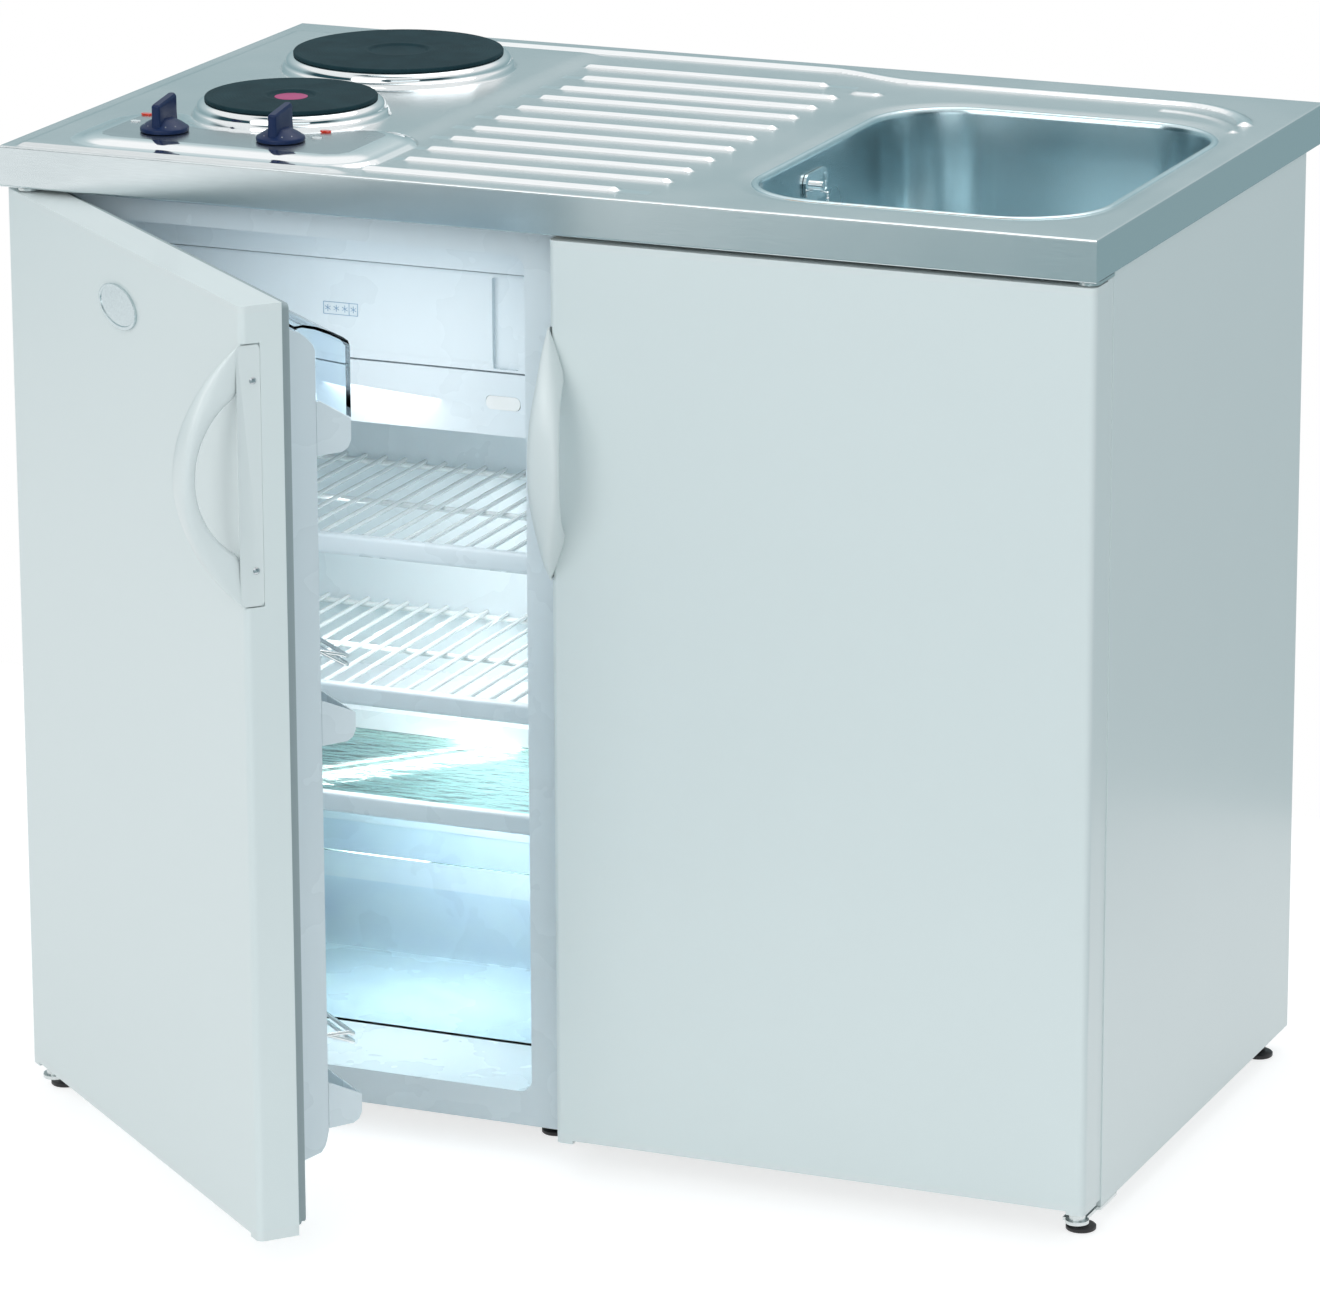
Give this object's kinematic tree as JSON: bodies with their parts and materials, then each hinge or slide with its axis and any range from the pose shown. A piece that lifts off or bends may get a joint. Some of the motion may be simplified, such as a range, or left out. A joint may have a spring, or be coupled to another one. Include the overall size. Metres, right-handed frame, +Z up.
{
  "type": "compact kitchen unit with hob, sink and refrigerator",
  "caption": "Metre-wide fitted kitchenette: steel worktop with hotplates, drainer and bowl over a refrigerator with an open door and a cupboard.",
  "frame": {"origin": "on the floor under the middle of the outline, refrigerator door at its stored angle", "axes": "+Z up, front towards -Y, +X to the right when facing the front"},
  "size_m": [1, 0.9506, 0.904],
  "materials": {
    "steel_top": "satin brushed",
    "wood_frame": "plain board",
    "plate_iron": "matt turned",
    "polished_steel": "polished",
    "knob_plastic": "navy, satin",
    "spindle_steel": "turned",
    "ceramic_base": "unglazed",
    "lamp_red": "clear red",
    "mark_white": "glossy white",
    "plug_rubber": "matt black",
    "trap_plastic": "white",
    "case_white": "white enamel",
    "cap_white": "white",
    "liner_plastic": "pale blue white",
    "freezer_alu": "coated",
    "lamp_white": "frosted",
    "shelf_wire": "white coated wire",
    "shelf_glass": "textured",
    "clear_plastic": "clear",
    "seal_rubber": "white",
    "badge_metal": "plain",
    "hinge_steel": "zinc",
    "catch_plastic": "white",
    "black_steel": "black",
    "grey_steel": "zinc",
    "gland_rubber": "black",
    "foot_plastic": "black"
  },
  "bodies": {
    "cabinet": {"worktop": "steel_top", "sink_bowl": "steel_top", "top_frame": "wood_frame", "plate_rear": "plate_iron", "plate_front": "plate_iron", "ring_rear": "polished_steel", "ring_front": "polished_steel", "waste_fitting": "polished_steel", "overflow_plate": "polished_steel", "ball_chain": "polished_steel", "spindles": "spindle_steel", "regulators": "ceramic_base", "lamp_lenses": "lamp_red", "mark_lenses": "mark_white", "bottle_trap": "trap_plastic", "fridge_case": "case_white", "cupboard_shell": "case_white", "fridge_liner": "liner_plastic", "freezer_fascia": "liner_plastic", "drip_tray": "liner_plastic", "lamp_housing": "liner_plastic", "shelf_trims": "liner_plastic", "freezer_box": "freezer_alu", "lamp_lens": "lamp_white", "wire_shelf_upper": "shelf_wire", "wire_shelf_lower": "shelf_wire", "glass_shelf": "shelf_glass", "hinge_lower": "hinge_steel", "hinge_upper": "hinge_steel", "magnet_catch": "catch_plastic", "compressor": "black_steel", "condenser": "black_steel", "compressor_plate": "grey_steel", "cable_gland": "gland_rubber"},
    "knob_left": {"knob_left": "knob_plastic"},
    "knob_right": {"knob_right": "knob_plastic"},
    "plug": {"plug": "plug_rubber"},
    "freezer_flap": {"freezer_flap": "liner_plastic"},
    "thermostat_knob": {"thermostat_knob": "liner_plastic"},
    "crisper": {"crisper": "clear_plastic"},
    "fridge_door": {"door_pan_left": "case_white", "door_caps_left": "cap_white", "door_liner_left": "liner_plastic", "door_gasket_left": "seal_rubber", "door_bins": "liner_plastic", "bottle_rails": "polished_steel", "handle_left": "cap_white", "oval_plate": "badge_metal"},
    "dairy_lid": {"dairy_lid": "clear_plastic"},
    "cupboard_door": {"door_pan_right": "case_white", "door_caps_right": "cap_white", "door_inner_right": "case_white", "door_gasket_right": "seal_rubber", "handle_right": "cap_white"},
    "foot_front_left": {"foot_front_left": "foot_plastic"},
    "foot_front_mid": {"foot_front_mid": "foot_plastic"},
    "foot_front_right": {"foot_front_right": "foot_plastic"},
    "foot_rear_left": {"foot_rear_left": "foot_plastic"},
    "foot_rear_mid": {"foot_rear_mid": "foot_plastic"},
    "foot_rear_right": {"foot_rear_right": "foot_plastic"}
  },
  "joints": [
    {"name": "fridge_door_hinge", "type": "hinge", "parent": "cabinet", "child": "fridge_door", "pos_m": [-0.478, -0.11285, 0.4325], "axis": [0, 0, -1], "range_deg": [-40.7, 70]},
    {"name": "cupboard_door_hinge", "type": "hinge", "parent": "cabinet", "child": "cupboard_door", "pos_m": [0.49, -0.11285, 0.4325], "axis": [0, 0, 1], "range_deg": [0, 100]},
    {"name": "knob_left_turn", "type": "hinge", "parent": "cabinet", "child": "knob_left", "pos_m": [-0.377, -0.05135, 0.873], "axis": [0, 0, 1], "continuous": true},
    {"name": "knob_right_turn", "type": "hinge", "parent": "cabinet", "child": "knob_right", "pos_m": [-0.266, -0.05135, 0.873], "axis": [0, 0, 1], "continuous": true},
    {"name": "freezer_flap_hinge", "type": "hinge", "parent": "cabinet", "child": "freezer_flap", "pos_m": [-0.452, 0.00165, 0.718], "axis": [0, 0, -1], "range_deg": [0, 25]},
    {"name": "dairy_lid_hinge", "type": "hinge", "parent": "fridge_door", "child": "dairy_lid", "pos_m": [-0.26993, -0.22059, 0.782], "axis": [0.7581, -0.6521, 0], "range_deg": [0, 20]},
    {"name": "crisper_slide", "type": "slide", "parent": "cabinet", "child": "crisper", "axis": [0, -1, 0], "range_m": [0, 0.045]},
    {"name": "thermostat_turn", "type": "hinge", "parent": "cabinet", "child": "thermostat_knob", "pos_m": [-0.053, 0.08515, 0.567], "axis": [-1, 0, 0], "range_deg": [0, 270]},
    {"name": "plug_lift", "type": "slide", "parent": "cabinet", "child": "plug", "axis": [0, 0, 1], "range_m": [0, 0.05]},
    {"name": "foot_front_left_turn", "type": "hinge", "parent": "cabinet", "child": "foot_front_left", "pos_m": [-0.483, -0.08285, 0.01], "axis": [0, 0, 1], "continuous": true},
    {"name": "foot_front_mid_turn", "type": "hinge", "parent": "cabinet", "child": "foot_front_mid", "pos_m": [-0.024, -0.03185, 0.01], "axis": [0, 0, 1], "continuous": true},
    {"name": "foot_front_right_turn", "type": "hinge", "parent": "cabinet", "child": "foot_front_right", "pos_m": [0.483, -0.08285, 0.01], "axis": [0, 0, 1], "continuous": true},
    {"name": "foot_rear_left_turn", "type": "hinge", "parent": "cabinet", "child": "foot_rear_left", "pos_m": [-0.483, 0.39515, 0.01], "axis": [0, 0, 1], "continuous": true},
    {"name": "foot_rear_mid_turn", "type": "hinge", "parent": "cabinet", "child": "foot_rear_mid", "pos_m": [-0.024, 0.39515, 0.01], "axis": [0, 0, 1], "continuous": true},
    {"name": "foot_rear_right_turn", "type": "hinge", "parent": "cabinet", "child": "foot_rear_right", "pos_m": [0.483, 0.39515, 0.01], "axis": [0, 0, 1], "continuous": true}
  ]
}
